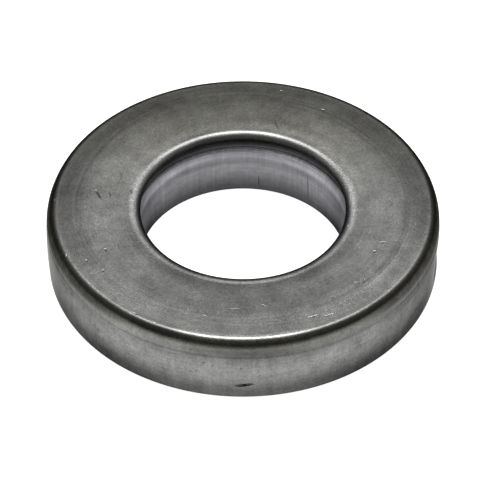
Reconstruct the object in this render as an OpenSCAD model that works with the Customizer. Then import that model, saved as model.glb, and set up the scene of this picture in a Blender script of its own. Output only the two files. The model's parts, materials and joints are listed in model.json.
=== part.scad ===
// Thrust ball bearing: a pressed cover shell carries the upper race and is
// crimped under the rim of the lower race, with caged balls between the two.

/* [Overall] */
// Smallest opening, across the edge of the cover's lip
bore_d = 32.1; // [31.5:0.1:32.6]
// Outside diameter of the cover
outer_d = 61.8; // [61.4:0.2:64]
// Height from the lower race's seat to the crest of the cover's rim
height = 11.85; // [11.85:0.05:12.6]

/* [Cover shell] */
// Thickness of the pressed sheet
sheet_t = 1.2; // [1:0.05:1.3]
// Outside radius of the top corner
corner_r = 1.4; // [1.4:0.1:1.7]
// Larger radius that runs on from the corner into the wall
shoulder_r = 5; // [4.5:0.1:5.5]
// Outside radius of the bottom edge
foot_r = 0.7; // [0.5:0.1:1]
// Outside radius of the lip bent into the bore
lip_r = 1.5; // [1.35:0.05:1.7]
// How far the lip turns down before the sheet ends, in degrees
lip_turn = 62; // [50:1:70]
// Steepest slope of the raised rim round the bore, in degrees
rim_slope = 3; // [2:1:8]
// Thickness of the edge crimped under the lower race
crimp_t = 0.9; // [0.7:0.1:1]
// Height of the crimped edge above the seat
cover_lift = 0.15; // [0.1:0.05:0.3]

/* [Races] */
// Bore diameter of the lower race's collar
collar_bore_d = 32.5; // [32.4:0.1:32.7]
// Wall thickness of the collar
collar_wall = 2; // [1.8:0.1:2.2]
// Height of the straight part of the collar's bore
collar_straight_h = 6.9; // [6:0.1:7]
// Radius of the flare above the straight bore
flare_r = 8; // [7:0.5:9]
// Groove radius of both races as a share of the ball diameter
groove_share = 0.52; // [0.515:0.005:0.54]
// Distance from the ball centres to each race's flat
race_gap = 2.1; // [1.9:0.1:2.3]

/* [Balls and cage] */
// Ball diameter
ball_d = 6.35; // [6:0.05:6.4]
// Number of balls
ball_count = 18; // [12:1:18]
// Clearance of a ball in its cage pocket
pocket_clearance = 0.15; // [0.1:0.05:0.2]
// Thickness of the cage sheet
cage_t = 0.8; // [0.6:0.1:0.9]
// Height of the cage's flanges above and below its web
cage_h = 1.6; // [1.2:0.1:1.7]

/* [Hidden] */
$fn = 96;
ARC_STEPS = 10;           // straight steps in each arc of an outline
running_gap = 0.3;        // between curved faces that turn past each other
bore_gap = 0.5;           // between the collar and the upper race's bore
ball_play = 0.02;         // between a ball and the bottom of its groove
edge_r = 0.3;             // small rounding on the races' edges
corner_turn = 62;         // how far the top corner turns before the shoulder takes over
cage_margin = 0.3;        // between a pocket and the nearer flange
rim_out_r = 4;            // convex radius outside the rim's crest
rim_in_r = 8;             // hollow radius where the rim runs into the flat top
flare_start = 85;         // slope of the flare where it leaves the straight bore
flare_stop = 68;          // slope of the flare at the collar's top

cover_r = outer_d / 2;
cover_in_r = cover_r - sheet_t;
cover_top_z = height - (rim_out_r + rim_in_r) * (1 - cos(rim_slope));
race_seat_z = cover_top_z - sheet_t;
lip_c = [bore_d / 2 + lip_r * sin(lip_turn), height - lip_r];
rim_out_c = [lip_c[0], height - rim_out_r];
rim_in_c = rim_out_c + (rim_out_r + rim_in_r) * [sin(rim_slope), cos(rim_slope)];
corner_run = (shoulder_r - corner_r) * [sin(corner_turn), cos(corner_turn)];
corner_c = [cover_r - shoulder_r + corner_run[0], cover_top_z - corner_r];
shoulder_c = corner_c - corner_run;
crimp_in_r = cover_in_r - sheet_t;
crimp_top_z = cover_lift + crimp_t;

collar_bore_r = collar_bore_d / 2;
collar_r = collar_bore_r + collar_wall;
flare_c = [collar_bore_r + flare_r * sin(flare_start),
           collar_straight_h - flare_r * cos(flare_start)];
collar_top_z = flare_c[1] + flare_r * cos(flare_stop);

upper_bore_r = collar_r + bore_gap;
pitch_r = (upper_bore_r + cover_in_r) / 2;
ball_r = ball_d / 2;
ball_z = race_seat_z / 2;
groove_r = ball_d * groove_share;
groove_offset = groove_r - ball_r - ball_play;
lower_rim_r = cover_in_r - running_gap;
lower_flat_z = ball_z - race_gap;
upper_flat_z = ball_z + race_gap;

pocket_r = ball_r + pocket_clearance;
cage_in_r = pitch_r - pocket_r - cage_t - cage_margin;
cage_out_r = pitch_r + pocket_r + cage_t + cage_margin;

function ball_name(i) = str("ball_", i < 10 ? "0" : "", i);

// Points along an arc, from angle a to angle b, with 0 pointing outwards and 90 up
function arc(centre, r, a, b) =
    [for (k = [0:ARC_STEPS]) let (t = a + (b - a) * k / ARC_STEPS)
        centre + r * [cos(t), sin(t)]];

// A corner point rounded by an arc of radius r, whose centre lies on the side given by signs
function corner(point, signs, r, a, b) = arc(point + r * signs, r, a, b);

// The face the cover shows, from the lip's end over the top and down to the crimp
function cover_outside() = concat(
    arc(lip_c, lip_r, 90 + lip_turn, 90),
    arc(rim_out_c, rim_out_r, 90, 90 - rim_slope),
    arc(rim_in_c, rim_in_r, 270 - rim_slope, 270),
    arc(corner_c, corner_r, 90, 90 - corner_turn),
    arc(shoulder_c, shoulder_r, 90 - corner_turn, 0),
    corner([cover_r, cover_lift], [-1, 1], foot_r, 0, -90));

// The same sheet from inside, from the crimp back to the lip's end
function cover_inside() = concat(
    [[crimp_in_r, cover_lift], [crimp_in_r, crimp_top_z], [cover_in_r, crimp_top_z]],
    arc(shoulder_c, shoulder_r - sheet_t, 0, 90 - corner_turn),
    arc(corner_c, corner_r - sheet_t, 90 - corner_turn, 90),
    arc(rim_in_c, rim_in_r + sheet_t, 270, 270 - rim_slope),
    arc(rim_out_c, rim_out_r - sheet_t, 90 - rim_slope, 90),
    arc(lip_c, lip_r - sheet_t, 90, 90 + lip_turn));

module shell() {
    color("#77797a")
        rotate_extrude()
            polygon(concat(cover_outside(), cover_inside()));
}

// The ring the balls roll in: a torus whose section is the groove's circle
module groove(centre_z) {
    rotate_extrude()
        translate([pitch_r, centre_z])
            circle(r = groove_r);
}

module upper_race() {
    color("#8a8b8c")
        difference() {
            rotate_extrude()
                polygon(concat(
                    [[upper_bore_r, race_seat_z], [corner_c[0], race_seat_z],
                     [cover_in_r, shoulder_c[1]]],
                    corner([cover_in_r, upper_flat_z], [-1, 1], edge_r, 0, -90),
                    corner([upper_bore_r, upper_flat_z], [1, 1], edge_r, 270, 180)));
            groove(ball_z - groove_offset);
        }
}

// Section of the lower race: a washer with a rebated rim and a collar up the bore
function lower_section() = concat(
    [[collar_bore_r + edge_r, 0], [crimp_in_r - running_gap, 0],
     [crimp_in_r - running_gap, crimp_top_z + running_gap],
     [lower_rim_r, crimp_top_z + running_gap]],
    corner([lower_rim_r, lower_flat_z], [-1, -1], edge_r, 0, 90),
    corner([collar_r, lower_flat_z], [1, 1], edge_r, 270, 180),
    corner([collar_r, collar_top_z], [-1, -1], edge_r, 0, 90),
    arc(flare_c, flare_r, 90 + flare_stop, 90 + flare_start),
    [[collar_bore_r, collar_straight_h], [collar_bore_r, edge_r]]);

module lower_race() {
    color("#8a8b8c")
        difference() {
            rotate_extrude()
                polygon(lower_section());
            groove(ball_z + groove_offset);
        }
}

// A short tube centred on the ball plane
module cage_ring(outer_r, inner_r, half_h) {
    translate([0, 0, ball_z - half_h])
        difference() {
            cylinder(r = outer_r, h = 2 * half_h);
            translate([0, 0, -1])
                cylinder(r = inner_r, h = 2 * half_h + 2);
        }
}

// Turns its child to each ball's place in the ring
module at_ball(i) {
    rotate([0, 0, i * 360 / ball_count])
        translate([pitch_r, 0, ball_z])
            children();
}

module cage() {
    color("#9c8a5a")
        difference() {
            union() {
                cage_ring(cage_out_r, cage_in_r, cage_t / 2);
                cage_ring(cage_in_r + cage_t, cage_in_r, cage_h);
                cage_ring(cage_out_r, cage_out_r - cage_t, cage_h);
            }
            for (i = [1:ball_count])
                at_ball(i)
                    cylinder(r = pocket_r, h = 4 * cage_t, center = true);
        }
}

module ball(i) {
    color("#c4c6c8")
        at_ball(i)
            sphere(r = ball_r);
}

shell();
upper_race();
lower_race();
cage();
for (i = [1:ball_count])
    ball(i);
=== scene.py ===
"""Looks of a thrust ball bearing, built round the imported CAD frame. Sizes are in metres."""

import json
import math

import bpy
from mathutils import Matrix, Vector


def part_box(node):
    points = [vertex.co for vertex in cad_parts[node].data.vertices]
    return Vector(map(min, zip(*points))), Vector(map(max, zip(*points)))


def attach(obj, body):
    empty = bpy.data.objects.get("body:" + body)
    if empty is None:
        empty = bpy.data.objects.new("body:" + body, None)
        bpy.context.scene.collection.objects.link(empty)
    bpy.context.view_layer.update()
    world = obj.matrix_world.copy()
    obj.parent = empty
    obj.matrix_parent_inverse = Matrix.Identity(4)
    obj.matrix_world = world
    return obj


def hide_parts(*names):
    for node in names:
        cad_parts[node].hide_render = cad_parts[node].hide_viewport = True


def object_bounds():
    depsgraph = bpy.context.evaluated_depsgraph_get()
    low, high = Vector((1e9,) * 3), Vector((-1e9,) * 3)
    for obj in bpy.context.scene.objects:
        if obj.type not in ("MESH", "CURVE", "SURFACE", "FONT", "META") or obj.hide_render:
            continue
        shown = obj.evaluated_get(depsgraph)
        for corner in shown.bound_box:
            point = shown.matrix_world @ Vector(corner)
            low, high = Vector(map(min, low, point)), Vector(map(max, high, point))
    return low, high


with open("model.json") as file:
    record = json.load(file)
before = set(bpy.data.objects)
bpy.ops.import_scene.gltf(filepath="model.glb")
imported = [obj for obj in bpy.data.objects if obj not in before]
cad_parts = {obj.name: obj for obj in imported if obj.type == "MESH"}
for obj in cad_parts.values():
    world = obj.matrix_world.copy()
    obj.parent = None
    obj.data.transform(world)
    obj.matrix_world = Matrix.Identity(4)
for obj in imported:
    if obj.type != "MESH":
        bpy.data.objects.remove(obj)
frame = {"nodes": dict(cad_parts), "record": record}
cad_low, cad_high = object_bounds()

MM = 0.001
OUTER_R = cad_high.x
HEIGHT = cad_high.z
MOUNTS = {m["name"]: m for m in frame["record"]["mounts"]}
TOP_Z = MOUNTS["top_face"]["pos_m"][2]
COLLAR_BORE_R = MOUNTS["collar_bore"]["dims"]["r_mm"] * MM
BASE_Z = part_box("shell")[0].z
RACE_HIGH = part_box("lower_race")[1]

# The cover's section
SHEET = 1.2 * MM
CORNER_R = 1.4 * MM
SHOULDER_R = 5 * MM
CORNER_TURN = math.radians(62)
FOOT_R = 0.7 * MM
CRIMP = 0.9 * MM
LIP_R = 1.5 * MM
LIP_TURN = 62
LIP_EDGE_R = 16.05 * MM
RIM_OUT_R = 4 * MM
RIM_IN_R = 8 * MM
RIM_SLOPE = 3
LIP_C = (LIP_EDGE_R + LIP_R * math.sin(math.radians(LIP_TURN)), HEIGHT - LIP_R)

# What use and the press have done to the cover
BAND_FALL = math.radians(0.8)
BAND_R = 0.79 * OUTER_R
CREASE_Z = BASE_Z + 0.288 * OUTER_R
CREASE_DEPTH, CREASE_HALF = 0.04 * MM, 0.25 * MM
BARREL = 0.08 * MM
UPPER_RUN = 1.5 * MM
LOWER_BAND_Z = BASE_Z + 0.077 * OUTER_R
LOWER_TURN = math.radians(3)
GOUGE_Z = BASE_Z + 0.097 * OUTER_R
GOUGE_SLOPE = 0.12
GOUGE_DEPTH, GOUGE_X, GOUGE_LENGTH, GOUGE_HALF = 0.20 * MM, 0.3 * MM, 1.05 * MM, 0.20 * MM
TAIL_DEPTH, TAIL_X, TAIL_LENGTH, TAIL_HALF = 0.05 * MM, -1.8 * MM, 1.4 * MM, 0.14 * MM
FLAT_SIDE, FLAT_SPREAD = math.radians(-3), math.radians(11)
FLAT_DEPTH = 0.42 * MM
FLAT_START, FLAT_RISE, FLAT_FADE = 0.8 * MM, 2.2 * MM, 5.6 * MM
EDGE_BREAK = 0.1 * MM

# The lower race's section
FLARE_R = 8 * MM
FLARE_START, FLARE_STOP = 85, 68
STRAIGHT_Z = 6.9 * MM
COLLAR_WALL = 2 * MM
EDGE_R = 0.3 * MM
BALL_LOW, BALL_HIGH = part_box("ball_18")
BALL_R = 0.5 * (BALL_HIGH.x - BALL_LOW.x)
PITCH_R = 0.5 * (BALL_HIGH.x + BALL_LOW.x)
BALL_Z = 0.5 * (BALL_HIGH.z + BALL_LOW.z)
GROOVE_SHARE = 0.52
BALL_PLAY = 0.02 * MM
RACE_GAP = 2.1 * MM
GROOVE_R = GROOVE_SHARE * 2 * BALL_R
GROOVE_Z = BALL_Z + GROOVE_R - BALL_R - BALL_PLAY
FLAT_Z = BALL_Z - RACE_GAP
RIM_R = RACE_HIGH.x
TOP_BREAK = 0.08 * MM

# Key light and camera
LIGHT_AZIMUTH, LIGHT_ELEVATION, LIGHT_DISTANCE = 180, 67, 0.6
LIGHT_SIZE, LIGHT_WATTS = (0.42, 0.22), 4.0
VIEW_ELEVATION = math.radians(43.4)
VIEW_DISTANCE = 15.114 * OUTER_R
VIEW_HEIGHT = BASE_Z + 0.1882 * OUTER_R
VIEW_SHIFT = (-0.0063, -0.0182)
LENS = 222.3


# ---------------------------------------------------------------- geometry

def arc(centre, radius, start, stop, steps=16):
    """Points (r, z) along an arc, with 0 degrees pointing outwards and 90 up."""
    out = []
    for k in range(steps + 1):
        a = math.radians(start + (stop - start) * k / steps)
        out.append((centre[0] + radius * math.cos(a), centre[1] + radius * math.sin(a)))
    return out


def line(start, stop, steps):
    """Points (r, z) along a straight stretch, its ends left out."""
    return [tuple(a + (b - a) * k / steps for a, b in zip(start, stop)) for k in range(1, steps)]


def smooth(x):
    """0 below 0, 1 above 1, and a smooth step between."""
    x = min(1.0, max(0.0, x))
    return x * x * (3 - 2 * x)


def lathe(name, outline, angles, dent=None):
    """Revolves a closed outline of (r, z) points about the axis. dent(x, y, z) may move a point."""
    verts, faces = [], []
    n, m = len(outline), len(angles)
    for a in angles:
        c, s = math.cos(a), math.sin(a)
        for r, z in outline:
            p = (r * c, r * s, z)
            verts.append(dent(*p) if dent else p)
    for i in range(m):
        j = (i + 1) % m
        for k in range(n):
            l = (k + 1) % n
            faces.append((i * n + k, i * n + l, j * n + l, j * n + k))
    mesh = bpy.data.meshes.new(name)
    mesh.from_pydata(verts, [], faces)
    mesh.validate()
    obj = bpy.data.objects.new(name, mesh)
    bpy.context.scene.collection.objects.link(obj)
    mesh.shade_smooth()
    mesh.set_sharp_from_angle(angle=math.radians(50))
    return obj


def even_angles(count):
    return [2 * math.pi * k / count for k in range(count)]


# ---------------------------------------------------------------- cover

def top_fall(r):
    """How far the drawn top has sunk at a radius: its outer band falls away as a faint cone."""
    return max(0.0, r - BAND_R) * math.tan(BAND_FALL)


def wall_inset(z):
    """How far the drawn outer wall stands inside the CAD's.

    It has a waist at the crease, a slight barrel below it and a turned-in lower band.
    """
    middle = 0.5 * (CREASE_Z + LOWER_BAND_Z)
    half = 0.5 * (CREASE_Z - LOWER_BAND_Z)
    sunk = BARREL * min(1.0, abs(z - middle) / half) ** 2
    if z > CREASE_Z:
        sunk = BARREL * (1 - smooth((z - CREASE_Z) / UPPER_RUN))
    sunk += CREASE_DEPTH * math.exp(-(((z - CREASE_Z) / CREASE_HALF) ** 2))
    if z < LOWER_BAND_Z:
        sunk += (LOWER_BAND_Z - z) * math.tan(LOWER_TURN)
    return sunk


def cover_outline():
    """The cover's section: the outside from the lip to the foot, then the inside back to the lip."""
    rim_out = (LIP_C[0], HEIGHT - RIM_OUT_R)
    s, c = math.sin(math.radians(RIM_SLOPE)), math.cos(math.radians(RIM_SLOPE))
    rim_in = (rim_out[0] + (RIM_OUT_R + RIM_IN_R) * s, rim_out[1] + (RIM_OUT_R + RIM_IN_R) * c)
    step = SHOULDER_R - CORNER_R
    run = (step * math.sin(CORNER_TURN), step * math.cos(CORNER_TURN))
    corner = (OUTER_R - SHOULDER_R + run[0], TOP_Z - CORNER_R)
    shoulder = (corner[0] - run[0], corner[1] - run[1])
    turned = 90 - math.degrees(CORNER_TURN)
    top = arc(LIP_C, LIP_R, 90 + LIP_TURN, 90, 24)
    top += arc(rim_out, RIM_OUT_R, 90, 90 - RIM_SLOPE, 6)[1:]
    top += arc(rim_in, RIM_IN_R, 270 - RIM_SLOPE, 270, 8)[1:]
    top += line(top[-1], (corner[0], TOP_Z), 28)
    top += arc(corner, CORNER_R, 90, turned, 24)
    side = arc(shoulder, SHOULDER_R, turned, 0, 14)[1:]
    edge_fall = top_fall(corner[0])
    out = [(r, z - min(edge_fall, top_fall(r))) for r, z in top]
    shoulder_run = side[0][1] - shoulder[1]
    for r, z in side:
        out.append((r - wall_inset(z), z - edge_fall * smooth((z - shoulder[1]) / shoulder_run)))
    foot = (OUTER_R - FOOT_R - wall_inset(BASE_Z + FOOT_R), BASE_Z + FOOT_R)
    rows = 48
    for k in range(1, rows):
        z = shoulder[1] + (foot[1] - shoulder[1]) * k / rows
        out.append((OUTER_R - wall_inset(z), z))
    out += arc(foot, FOOT_R, 0, -90, 12)
    crimp_r, inner_r, crimp_z = OUTER_R - 2 * SHEET, OUTER_R - SHEET, BASE_Z + CRIMP
    out += [(crimp_r + EDGE_BREAK, BASE_Z), (crimp_r, BASE_Z + EDGE_BREAK)]
    out += [(crimp_r, crimp_z - EDGE_BREAK), (crimp_r + EDGE_BREAK, crimp_z), (inner_r, crimp_z)]
    out += arc(shoulder, SHOULDER_R - SHEET, 0, turned, 6)
    out += [(r, z - edge_fall) for r, z in arc(corner, CORNER_R - SHEET, turned, 90, 4)[1:]]
    out += arc(rim_in, RIM_IN_R + SHEET, 270, 270 - RIM_SLOPE, 6)
    out += arc(rim_out, RIM_OUT_R - SHEET, 90 - RIM_SLOPE, 90, 4)[1:]
    out += arc(LIP_C, LIP_R - SHEET, 90, 90 + LIP_TURN, 6)[1:]
    return out


def knocks(x, y, z):
    """Pushes a point of the wall inwards, at the front's short gouge and one side's flattened spot."""
    r = math.hypot(x, y)
    if r < 0.98 * OUTER_R or z > CREASE_Z:
        return x, y, z
    push = 0.0
    if y < -0.98 * OUTER_R:
        across = z - GOUGE_Z - GOUGE_SLOPE * (x - 0.1 * MM)
        along = ((x - GOUGE_X) / GOUGE_LENGTH) ** 4
        push += GOUGE_DEPTH * math.exp(-along - (across / GOUGE_HALF) ** 2)
        along = ((x - TAIL_X) / TAIL_LENGTH) ** 4
        push += TAIL_DEPTH * math.exp(-along - (across / TAIL_HALF) ** 2)
    aside = (math.atan2(y, x) - FLAT_SIDE) / FLAT_SPREAD
    low = smooth((z - BASE_Z - FLAT_START) / FLAT_RISE) * smooth((CREASE_Z - z) / FLAT_FADE)
    push += FLAT_DEPTH * low * math.exp(-(aside ** 4))
    k = (r - push) / r
    return x * k, y * k, z


def cover_angles():
    """Even steps all round, with finer ones across the gouge at the front."""
    front, spread, fine = -math.pi / 2, math.radians(7), 56
    turn = 2 * math.pi
    out = [a for a in even_angles(300) if abs((a - front + math.pi) % turn - math.pi) > spread]
    out += [front + spread * (2 * k / fine - 1) for k in range(fine + 1)]
    return sorted(a % turn for a in out)


# ---------------------------------------------------------------- lower race

def race_outline():
    """The lower race's section, from its bottom face round the rim, the groove and the collar."""
    step_r = OUTER_R - 2 * SHEET - EDGE_R
    collar_r = COLLAR_BORE_R + COLLAR_WALL
    flare = (COLLAR_BORE_R + FLARE_R * math.sin(math.radians(FLARE_START)),
             STRAIGHT_Z - FLARE_R * math.cos(math.radians(FLARE_START)))
    top_z = RACE_HIGH.z
    half = math.degrees(math.asin((GROOVE_Z - FLAT_Z) / GROOVE_R))
    out = [(COLLAR_BORE_R + EDGE_R, 0)]
    out += line((COLLAR_BORE_R + EDGE_R, 0), (step_r, 0), 12)
    step_z = BASE_Z + CRIMP + EDGE_R
    out += [(step_r - EDGE_BREAK, 0), (step_r, EDGE_BREAK), (step_r, step_z), (RIM_R, step_z)]
    out += arc((RIM_R - EDGE_R, FLAT_Z - EDGE_R), EDGE_R, 0, 90, 5)
    out += arc((PITCH_R, GROOVE_Z), GROOVE_R, -half, half - 180, 24)
    out += arc((collar_r + EDGE_R, FLAT_Z + EDGE_R), EDGE_R, 270, 180, 5)
    out += arc((collar_r - EDGE_R, top_z - EDGE_R), EDGE_R, 0, 90, 5)
    lip = arc(flare, FLARE_R, 90 + FLARE_STOP, 90 + FLARE_START, 14)
    out += [(lip[0][0] + TOP_BREAK, top_z)]
    out += lip[1:]
    out += line((COLLAR_BORE_R, STRAIGHT_Z), (COLLAR_BORE_R, EDGE_R), 20)
    out += arc((COLLAR_BORE_R + EDGE_R, EDGE_R), EDGE_R, 180, 270, 5)[:-1]
    return out


# ---------------------------------------------------------------- node helpers

class Tree:
    """A short way to write a material's nodes."""

    def __init__(self, tree):
        self.tree = tree
        self.nodes, self.links = tree.nodes, tree.links

    def put(self, socket, value):
        if isinstance(value, bpy.types.NodeSocket):
            self.links.new(value, socket)
        elif value is not None:
            socket.default_value = value

    def node(self, kind, inputs=None, out=0, **props):
        n = self.nodes.new(kind)
        for key, value in props.items():
            setattr(n, key, value)
        for key, value in (inputs or {}).items():
            self.put(n.inputs[key], value)
        return n.outputs[out]

    def math(self, op, a, b=None, clamp=False):
        inputs = {0: a} if b is None else {0: a, 1: b}
        return self.node("ShaderNodeMath", inputs, operation=op, use_clamp=clamp)

    def add(self, *terms):
        total = terms[0]
        for term in terms[1:]:
            total = self.math("ADD", total, term)
        return total

    def times(self, *terms):
        total = terms[0]
        for term in terms[1:]:
            total = self.math("MULTIPLY", total, term)
        return total

    def remap(self, value, low, high, to_low=0.0, to_high=1.0):
        """Maps low..high to to_low..to_high by a smooth step."""
        inputs = {"Value": value, "From Min": low, "From Max": high, "To Min": to_low, "To Max": to_high}
        return self.node("ShaderNodeMapRange", inputs, interpolation_type="SMOOTHSTEP")

    def hump(self, value, centre, width):
        """1 at the centre, falling smoothly to 0 one width away."""
        away = self.math("ABSOLUTE", self.math("SUBTRACT", value, centre))
        return self.remap(away, 0.0, width, 1.0, 0.0)

    def noise(self, vector, scale, detail=2.0, rough=0.5):
        """Noise from 0 to 1 with its middle at 0.5."""
        inputs = {"Vector": vector, "Scale": scale, "Detail": detail, "Roughness": rough}
        return self.node("ShaderNodeTexNoise", inputs)

    def grey(self, value):
        return self.node("ShaderNodeCombineColor", {0: value, 1: value, 2: value})


class Lathed:
    """Position in millimetres and in the lathe's own terms: direction round the axis, radius and height."""

    def __init__(self, t):
        self.t = t
        coords = t.node("ShaderNodeTexCoord", out=3)
        self.pos = t.node("ShaderNodeVectorMath", {0: coords, 1: (1 / MM,) * 3}, operation="MULTIPLY")
        split = t.node("ShaderNodeSeparateXYZ", {0: self.pos}).node
        self.x, self.y, self.z = split.outputs
        r = t.math("SQRT", t.add(t.times(self.x, self.x), t.times(self.y, self.y)))
        self.r = t.math("MAXIMUM", r, 0.01)
        self.cx, self.cy = t.math("DIVIDE", self.x, self.r), t.math("DIVIDE", self.y, self.r)

    def stretched(self, around, radial, height):
        """A texture vector with its own scale round the axis, along the radius and up the axis."""
        t = self.t
        along = t.add(t.times(self.r, radial), t.times(self.z, height))
        turned = {0: t.times(self.cx, around), 1: t.times(self.cy, around), 2: along}
        return t.node("ShaderNodeCombineXYZ", turned)

    def mark(self, azimuth, radius, height, turn, length, width):
        """1 inside a small elongated mark, on the top at a radius or, given a height, on a wall.

        turn is its angle from the turning direction, and the sizes are half sizes in mm.
        """
        t = self.t
        a = math.radians(azimuth)
        cx, cy = math.cos(a), math.sin(a)
        outward = t.add(t.times(self.x, cx), t.times(self.y, cy))
        around = t.add(t.times(self.x, -cy), t.times(self.y, cx))
        across = t.add(outward, -radius) if height is None else t.add(self.z, -height)
        c, s = math.cos(math.radians(turn)), math.sin(math.radians(turn))
        u = t.times(t.add(t.times(around, c), t.times(across, s)), 1 / length)
        v = t.times(t.add(t.times(across, c), t.times(around, -s)), 1 / width)
        inside = t.math("SQRT", t.add(t.times(u, u), t.times(v, v)))
        return t.times(t.remap(inside, 0.6, 1.3, 1.0, 0.0), t.remap(outward, 0.0, 0.2))


def metal(name, colour, roughness):
    mat = bpy.data.materials.new(name)
    mat.use_nodes = True
    t = Tree(mat.node_tree)
    shader = t.nodes["Principled BSDF"]
    shader.inputs["Metallic"].default_value = 1.0
    shader.inputs["Base Color"].default_value = (*colour, 1)
    shader.inputs["Roughness"].default_value = roughness
    shader.inputs["Specular Tint"].default_value = (0.3, 0.3, 0.3, 1)
    return mat, t, shader


def finish_metal(t, shader, tone, tint, rough, height):
    """Wires a grey tone with a tint, a roughness and a height in millimetres into a metal shader."""
    colour = t.node("ShaderNodeVectorMath", {0: t.grey(tone), 1: tint}, operation="MULTIPLY")
    t.put(shader.inputs["Base Color"], colour)
    t.put(shader.inputs["Roughness"], rough)
    bump = t.node("ShaderNodeBump", {"Strength": 1.0, "Distance": MM, "Height": height})
    t.put(shader.inputs["Normal"], bump)


# ---------------------------------------------------------------- materials

# Marks on the cover: azimuth in degrees (the front is 270), radius or height as a share of the
# outer radius, turn in degrees, half length and half width in mm, strength. Nearly all azimuths and
# shares, and the turns and half lengths of the first five scratches, were worked out by a measuring
# program from places in the photo. The rest is chosen.
NICKS = [
    (178, 0.953, 10, 0.22, 0.12, 0.8), (203, 0.951, 20, 0.32, 0.14, 1.0), (208, 0.877, 0, 0.25, 0.12, 0.6),
    (236, 0.941, 5, 0.40, 0.12, 0.9), (243, 0.946, 5, 0.50, 0.10, 0.8), (267, 0.751, 0, 0.60, 0.09, 0.5),
    (270, 0.574, 60, 0.35, 0.10, 0.6), (257, 0.818, 10, 0.30, 0.09, 0.5), (278, 0.735, 40, 0.40, 0.10, 0.4),
    (293, 0.870, 0, 0.70, 0.12, 0.4), (298, 0.895, 5, 0.60, 0.12, 0.5), (315, 0.80, 40, 0.50, 0.09, 0.6),
    (317, 0.815, -35, 0.40, 0.09, 0.6), (343, 0.554, 0, 0.22, 0.14, 0.8), (349, 0.879, 0, 0.70, 0.11, 0.5),
    (2, 0.859, 15, 0.50, 0.11, 0.4), (60, 0.838, 0, 0.25, 0.12, 0.5), (77, 0.899, 20, 0.25, 0.12, 0.4),
]
SCRATCHES = [
    (174.5, 0.737, -30, 1.15, 0.15, 0.75), (174, 0.679, -14, 0.75, 0.09, 0.5),
    (161, 0.66, -26, 1.2, 0.09, 0.3),
    (170.5, 0.577, -26, 0.5, 0.12, 0.6), (74, 0.632, 61, 1.4, 0.10, 0.45),
    (206, 0.761, 0, 0.22, 0.16, 0.6), (215, 0.842, 0, 0.20, 0.14, 0.5), (332, 0.741, 20, 0.28, 0.18, 0.5),
    (338, 0.751, 60, 0.40, 0.14, 0.5), (206, 0.69, 15, 0.8, 0.10, 0.3),
]
PITS = [
    (259, 0.238, 20, 0.28, 0.20, 0.55), (261.5, 0.224, 0, 0.22, 0.16, 0.45),
    (257, 0.174, 10, 0.24, 0.15, 0.35), (269.5, 0.215, 0, 0.26, 0.18, 0.45),
    (329, 0.223, 40, 0.26, 0.18, 0.7), (250, 0.262, 5, 1.1, 0.12, 0.35),
]


def cover_film_and_painted_light(t, at, outer, on_top):
    """A factor for the top's uneven tone, by direction and radius, and 1 off the top.

    It is partly an oil film and partly painted light and shade, standing for a studio's uneven light,
    which the lights here don't give. It is fixed on the cover and turns with it.
    """
    side = t.times(at.cx, at.cx)
    back = t.math("MAXIMUM", at.cy, 0.0)
    front = t.math("MAXIMUM", t.times(at.cy, -1.0), 0.0)
    inner = t.add(0.60, t.times(at.cy, 0.12), t.times(side, 0.35), t.times(side, back, 0.29))
    band = t.add(0.48, t.times(at.cy, 0.03), t.times(side, 0.06), t.times(side, front, 0.50))
    right_back = t.times(t.math("MAXIMUM", at.cx, 0.0), back)
    rim = t.add(1.0, t.times(at.cy, 0.26), t.times(right_back, 0.6),
                t.times(front, t.remap(side, 0.0, 0.3, 0.15, -0.25)))
    shift = t.add(t.times(side, 0.035 * outer), t.times(at.cx, -0.01 * outer))
    out = t.remap(t.add(at.r, t.times(shift, -1.0)), 0.67 * outer, 0.86 * outer)
    near_rim = t.remap(at.r, 0.60 * outer, 0.66 * outer, 1.0, 0.0)
    film_and_shade = t.add(inner, t.times(out, t.add(band, t.times(inner, -1.0))))
    film_and_shade = t.times(film_and_shade, t.add(1.0, t.times(near_rim, t.add(rim, -1.0))))
    edge = t.times(t.remap(at.r, 0.85 * outer, 0.92 * outer), side, -0.12)
    film_and_shade = t.times(film_and_shade, t.add(1.0, edge))
    return t.add(1.0, t.times(on_top, t.add(film_and_shade, -1.0)))


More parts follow.
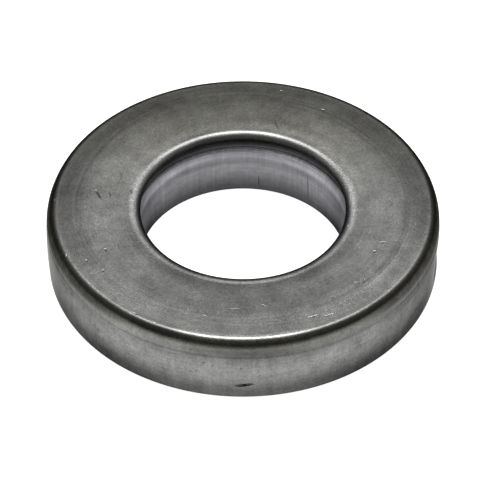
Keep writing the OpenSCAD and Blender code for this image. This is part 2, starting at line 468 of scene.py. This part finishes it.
def wall_wear_and_painted_light(t, at, outer):
    """A factor for the wall's tone: painted sheen below the crease, painted shade at the foot and above it.

    Its change with the direction is partly wear and partly painted light and shade of a studio's uneven
    light.
    """
    side = t.times(at.cx, at.cx)
    height = t.times(t.add(at.z, -BASE_Z / MM), 1 / outer)
    shine = t.add(0.165, t.times(side, 0.03))
    away = t.math("ABSOLUTE", t.add(height, t.times(shine, -1.0)))
    # painted sheen in a band below the crease, painted shade away from it
    sheen_and_shade = t.remap(away, 0.02, 0.13, 1.12, 0.64)
    edge = t.math("MAXIMUM", t.add(side, -0.5), 0.0)
    right = t.times(t.math("MAXIMUM", at.cx, 0.0), side)
    sheen_and_shade = t.times(sheen_and_shade, t.add(1.0, t.times(edge, 0.9), t.times(at.cx, -0.04), t.times(right, -0.2),
                                     t.remap(side, 0.0, 0.25, 0.08, 0.0)))
    tilt = t.times(t.add(height, -0.17), t.hump(side, 0.35, 0.42), 3.0)
    sheen_and_shade = t.times(sheen_and_shade, t.add(1.0, tilt))
    lift = t.add(t.times(side, t.add(1.2, t.times(side, -0.88))), t.remap(side, 0.0, 0.12, 0.0, 0.15))
    upper = t.add(0.50, lift, t.times(at.cx, t.add(1.0, t.times(side, -1.0)), -0.3))
    above = t.remap(at.z, CREASE_Z / MM - 0.8, CREASE_Z / MM + 0.4)
    wall = t.add(sheen_and_shade, t.times(above, t.add(upper, t.times(sheen_and_shade, -1.0))))
    # painted shade: a thin darker line along the crease
    crease_shade = t.hump(at.z, CREASE_Z / MM - 0.1, 0.28)
    wall = t.times(wall, t.add(1.0, t.times(crease_shade, -0.28)))
    on_wall = t.remap(at.z, TOP_Z / MM - 1.9, TOP_Z / MM - 0.9, 1.0, 0.0)
    return t.add(1.0, t.times(on_wall, t.add(wall, -1.0)))


def marks(t, at, start, listed, outer, on_wall=False):
    """The strongest of the listed marks at each point, on the top or on the wall."""
    most = start
    for azimuth, share, turn, length, width, strength in listed:
        radius = outer if on_wall else share * outer
        height = BASE_Z / MM + share * outer if on_wall else None
        mark = at.mark(azimuth, radius, height, turn, length, width)
        most = t.math("MAXIMUM", most, t.times(mark, strength))
    return most


def cover_steel():
    mat, t, shader = metal("cover_steel", (0.18, 0.18, 0.178), 0.28)
    at = Lathed(t)
    outer = OUTER_R / MM
    side = t.times(at.cx, at.cx)
    on_top = t.remap(at.z, TOP_Z / MM - 1.2, TOP_Z / MM - 0.5)
    blotch = t.noise(at.pos, 0.14, 3.0, 0.6)
    stains = t.noise(at.pos, 0.55, 4.0, 0.62)
    speckle = t.noise(at.pos, 2.6, 2.0, 0.7)
    grit = t.noise(at.pos, 4.5, 1.0, 0.5)
    turning = t.noise(at.stretched(3.0, 3.0, 3.0), 1.0, 3.0, 0.65)
    streaks = t.noise(at.stretched(60.0, 0.22, 0.22), 1.0, 3.0, 0.6)
    smears = t.noise(at.stretched(11.0, 0.12, 0.25), 1.0, 3.0, 0.65)
    # the streaks of drawing run up the wall only
    drawn = t.times(t.add(t.times(streaks, 0.42), t.times(smears, 0.55), -0.485),
                    t.add(1.05, t.times(on_top, -1.0)))
    tone = t.add(t.times(blotch, 0.45), t.times(stains, 0.60), t.times(speckle, 0.65), t.times(grit, 0.70),
                 t.times(turning, 0.50), drawn, -0.45)
    # rings left by the press on the top's outer band, broken round the axis
    broken = t.noise(at.stretched(2.2, 0.0, 0.0), 1.0, 2.0, 0.6)
    rings = t.noise(at.stretched(0.8, 2.2, 0.0), 1.0, 2.0, 0.5)
    ring_zone = t.times(t.hump(at.r, 0.84 * outer, 0.07 * outer), on_top)
    ring_tone = t.add(1.0, t.times(ring_zone, t.add(rings, -0.5), t.add(broken, -0.05), 3.0))
    # the rim's crest, worn and speckled at both sides of the bore
    crest = t.times(t.hump(at.r, 0.552 * outer, 0.035 * outer), on_top)
    worn = t.times(crest, t.remap(side, 0.30, 0.85), t.remap(at.cy, -0.35, 0.10))
    flecks = t.times(t.remap(grit, 0.50, 0.70), t.add(t.times(worn, 0.5), t.times(crest, 0.10)))
    # partly dirt and partly painted shade: darker round the outer corner, most at both sides
    corner = t.times(t.remap(at.z, TOP_Z / MM - 2.6, TOP_Z / MM - 1.3),
                     t.remap(at.r, 0.937 * outer, 0.965 * outer))
    dirt_and_shade = t.times(corner, t.remap(side, 0.20, 0.60), t.remap(stains, 0.30, 0.60, 0.7, 1.0))
    # painted highlight: the corner's line is brighter at the front and duller further round, as under a
    # narrower light
    line_zone = t.times(t.hump(at.r, 0.951 * outer, 0.034 * outer), on_top)
    painted_highlight = t.add(t.remap(side, 0.0, 0.17, 1.0, -0.26), t.remap(side, 0.36, 0.66, 0.0, 0.28))
    painted_highlight = t.times(painted_highlight, line_zone, t.remap(speckle, 0.30, 0.62, 0.6, 1.4),
                     t.remap(at.cy, -0.2, 0.1, 1.0, 0.0))
    # painted highlight on the rim's crest behind the bore, duller towards its sides
    lip_painted_highlight = t.times(crest, t.remap(at.cy, 0.0, 0.4), t.remap(side, 0.0, 0.22, 0.02, -0.36),
                       t.add(1.0, t.times(at.cx, 0.25)))
    bright = marks(t, at, 0.0, NICKS, outer)
    dark = marks(t, at, 0.0, SCRATCHES, outer)
    bright, dark = t.times(bright, on_top), t.times(dark, on_top)
    dark = marks(t, at, dark, PITS, outer, on_wall=True)
    dark = t.math("MAXIMUM", dark, t.times(at.mark(270.3, outer, GOUGE_Z / MM, 8, 1.6, 0.24), 0.9))
    grain = t.remap(grit, 0.35, 0.65, 0.4, 1.0)
    tone = t.times(tone, cover_film_and_painted_light(t, at, outer, on_top), wall_wear_and_painted_light(t, at, outer), ring_tone,
                   t.add(1.0, painted_highlight, lip_painted_highlight, t.times(dirt_and_shade, -0.68)), t.add(1.0, t.times(dark, -0.75)))
    tone = t.times(t.add(tone, t.times(flecks, 1.6), t.times(bright, grain, 0.9)), 0.18)
    rough = t.add(t.times(blotch, 0.08), t.times(speckle, 0.06), t.times(flecks, 0.2), t.times(worn, 0.1),
                  t.times(crest, 0.13), t.times(line_zone, 0.045), t.times(dirt_and_shade, 0.2), 0.19)
    relief = t.add(t.times(streaks, 0.003), t.times(turning, 0.002), t.times(stains, 0.006),
                   t.times(flecks, 0.02), t.times(speckle, t.add(crest, line_zone), 0.016),
                   t.times(bright, -0.05), t.times(dark, -0.045))
    # an olive bloom of oil in the corner and on the far side of the top
    far = t.times(on_top, t.remap(at.cy, -0.2, 1.0), t.add(1.0, t.times(crest, -1.0)))
    bloom = t.add(t.times(corner, 0.8), t.times(far, 0.7), t.times(stains, 0.3))
    olive = {0: t.grey(bloom), 1: (0.0, -0.012, -0.11), 2: (1.0, 1.0, 1.0)}
    tint = t.node("ShaderNodeVectorMath", olive, operation="MULTIPLY_ADD")
    finish_metal(t, shader, tone, tint, rough, relief)
    return mat


def race_steel():
    mat, t, shader = metal("race_steel", (0.25, 0.25, 0.26), 0.22)
    at = Lathed(t)
    in_bore = t.remap(at.r, COLLAR_BORE_R / MM + 1.0, COLLAR_BORE_R / MM + 1.6, 1.0, 0.0)
    streaks = t.noise(at.stretched(34.0, 0.25, 0.10), 1.0, 3.0, 0.62)
    drag = t.noise(at.stretched(90.0, 0.3, 0.25), 1.0, 2.0, 0.6)
    rings = t.noise(at.stretched(1.2, 3.5, 2.4), 1.0, 3.0, 0.6)
    blotch = t.noise(at.pos, 0.3, 3.0, 0.6)
    speckle = t.noise(at.pos, 4.5, 2.0, 0.7)
    stains = t.noise(at.stretched(9.0, 0.3, 0.8), 1.0, 4.0, 0.65)
    tone = t.add(t.times(streaks, t.add(t.times(in_bore, 0.35), 0.12)), t.times(drag, 0.30),
                 t.times(rings, 0.40), t.times(blotch, 0.30), t.times(speckle, 0.40),
                 t.times(stains, 0.60), -0.21)
    scratch = t.math("MAXIMUM", at.mark(50, 0, 3.7, 88, 2.6, 0.13), at.mark(81, 0, 2.2, 90, 1.2, 0.13))
    # the bore's tone by height and direction is painted light and shade, as on the cover: painted shade
    # darker at the foot and in a band below the flare, and a painted sheen brighter on the flare
    side = t.times(at.cx, at.cx)
    right = t.times(t.math("MAXIMUM", at.cx, 0.0), at.cy)
    low = t.times(t.remap(at.z, 0.0, 5.0, 0.22, 0.68), t.remap(side, 0.25, 0.75, 1.0, 1.2),
                  t.add(1.0, t.times(right, 0.15)))
    shade_band = t.add(1.0, t.times(t.hump(at.z, 6.3, 1.2), t.remap(at.cy, 0.55, 0.85), -0.28))
    rise = t.add(0.95, t.times(t.remap(side, 0.10, 0.60), -0.95),
                 t.times(right, t.remap(at.cy, 0.5, 0.75), 1.6))
    sheen_ring = t.times(t.hump(at.z, 7.4, 0.9), t.remap(side, 0.05, 0.35, 0.02, 0.32))
    flare = t.times(t.add(1.0, sheen_ring), t.add(1.0, t.times(t.remap(at.z, 7.9, 8.6), rise)))
    inner = t.add(1.0, t.times(in_bore, t.add(t.times(low, shade_band, flare), -1.0)))
    slot = t.remap(at.z, RACE_HIGH.z / MM - 0.15, RACE_HIGH.z / MM - 0.02)
    tone = t.times(tone, inner, t.add(1.0, t.times(scratch, -0.45)), 0.26)
    rough = t.add(t.times(speckle, 0.08), t.times(drag, 0.08), 0.13)
    relief = t.add(t.times(drag, 0.008), t.times(rings, 0.010), t.times(speckle, 0.004))
    finish_metal(t, shader, tone, (0.985, 0.98, 1.035), rough, relief)
    # grease and dirt lie in the slot between the collar and the lip
    t.put(shader.inputs["Metallic"], t.add(1.0, t.times(slot, -0.9)))
    return mat


def ball_steel():
    mat, t, shader = metal("ball_steel", (0.7, 0.7, 0.71), 0.08)
    at = Lathed(t)
    haze = t.noise(at.pos, 0.9, 3.0, 0.6)
    hairs = t.noise(at.stretched(40.0, 6.0, 6.0), 1.0, 2.0, 0.7)
    tone = t.add(t.times(haze, 0.14), t.times(hairs, 0.10), 0.55)
    rough = t.add(t.times(haze, 0.08), t.times(hairs, 0.05), 0.02)
    finish_metal(t, shader, tone, (0.99, 1.0, 1.01), rough, t.times(hairs, 0.001))
    return mat


def cage_steel():
    mat, t, shader = metal("cage_steel", (0.42, 0.42, 0.41), 0.32)
    at = Lathed(t)
    rolled = t.noise(at.stretched(8.0, 5.0, 5.0), 1.0, 3.0, 0.6)
    blotch = t.noise(at.pos, 0.5, 3.0, 0.6)
    speckle = t.noise(at.pos, 5.0, 2.0, 0.6)
    tone = t.add(t.times(rolled, 0.16), t.times(blotch, 0.16), t.times(speckle, 0.10), 0.20)
    rough = t.add(t.times(blotch, 0.14), t.times(speckle, 0.10), 0.20)
    relief = t.add(t.times(rolled, 0.01), t.times(speckle, 0.01))
    finish_metal(t, shader, tone, (1.0, 1.0, 0.98), rough, relief)
    return mat


def floor_material():
    mat = bpy.data.materials.new("floor")
    mat.use_nodes = True
    shader = mat.node_tree.nodes["Principled BSDF"]
    shader.inputs["Base Color"].default_value = (0.5, 0.5, 0.5, 1)
    shader.inputs["Roughness"].default_value = 0.9
    shader.inputs["Specular IOR Level"].default_value = 0.0
    shader.inputs["Emission Color"].default_value = (1, 1, 1, 1)
    shader.inputs["Emission Strength"].default_value = 0.97
    return mat


# ---------------------------------------------------------------- pieces

def set_material(obj, mat):
    obj.data.materials.clear()
    obj.data.materials.append(mat)


COVER, RACE, BALL, CAGE = cover_steel(), race_steel(), ball_steel(), cage_steel()

for name, node in frame["nodes"].items():
    mat = BALL if name.startswith("ball") else CAGE if name == "cage" else RACE
    for s in node.material_slots:
        s.material = mat

cover = lathe("cover_shell", cover_outline(), cover_angles(), knocks)
set_material(cover, COVER)
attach(cover, "cover")
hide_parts("shell")

race = lathe("collared_race", race_outline(), even_angles(256))
set_material(race, RACE)
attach(race, "lower_race")
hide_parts("lower_race")


# ---------------------------------------------------------------- floor, lights, camera

def add_floor():
    half = 1.5
    mesh = bpy.data.meshes.new("floor")
    corners = [(-half, -half, 0), (half, -half, 0), (half, half, 0), (-half, half, 0)]
    mesh.from_pydata(corners, [], [(0, 1, 2, 3)])
    floor = bpy.data.objects.new("floor", mesh)
    floor.location.z = -0.02 * MM
    bpy.context.scene.collection.objects.link(floor)
    set_material(floor, floor_material())


def add_softbox(name, azimuth, elevation, distance, size, watts):
    """A rectangular soft light aimed at the bearing. Azimuth 180 is behind the object."""
    data = bpy.data.lights.new(name, "AREA")
    data.shape = "RECTANGLE"
    data.size, data.size_y = size
    data.energy = watts
    light = bpy.data.objects.new(name, data)
    a, e = math.radians(azimuth), math.radians(elevation)
    back = Vector((math.sin(a) * math.cos(e), -math.cos(a) * math.cos(e), math.sin(e)))
    light.location = back * distance
    light.rotation_mode = "QUATERNION"
    light.rotation_quaternion = (-back).to_track_quat("-Z", "Y")
    bpy.context.scene.collection.objects.link(light)


def add_world():
    """A dim studio: dark all round the horizon and above the camera, brighter high up behind the object."""
    world = bpy.data.worlds.new("studio")
    bpy.context.scene.world = world
    world.use_nodes = True
    t = Tree(world.node_tree)
    split = t.node("ShaderNodeSeparateXYZ", {0: t.node("ShaderNodeTexCoord", out=0)}).node
    lifted = t.remap(split.outputs[2], 0.20, 0.70)
    behind = t.remap(split.outputs[1], -0.35, 0.45, 0.25, 1.0)
    level = t.add(t.times(lifted, behind, 0.62), 0.052)
    t.links.new(t.grey(level), t.nodes["Background"].inputs[0])


def add_camera():
    """The camera stands in front and looks down at the bearing with a long lens."""
    data = bpy.data.cameras.new("camera")
    data.sensor_width = 36.0
    data.lens = LENS
    data.shift_x, data.shift_y = VIEW_SHIFT
    camera = bpy.data.objects.new("camera", data)
    back = Vector((0, -math.cos(VIEW_ELEVATION), math.sin(VIEW_ELEVATION)))
    target = Vector((0, 0, VIEW_HEIGHT))
    camera.location = target + back * VIEW_DISTANCE
    camera.rotation_mode = "QUATERNION"
    camera.rotation_quaternion = (-back).to_track_quat("-Z", "Y")
    bpy.context.scene.collection.objects.link(camera)
    bpy.context.scene.camera = camera


add_floor()
add_world()
add_softbox("key", LIGHT_AZIMUTH, LIGHT_ELEVATION, LIGHT_DISTANCE, LIGHT_SIZE, LIGHT_WATTS)
add_camera()
bpy.context.scene.view_settings.view_transform = "Standard"
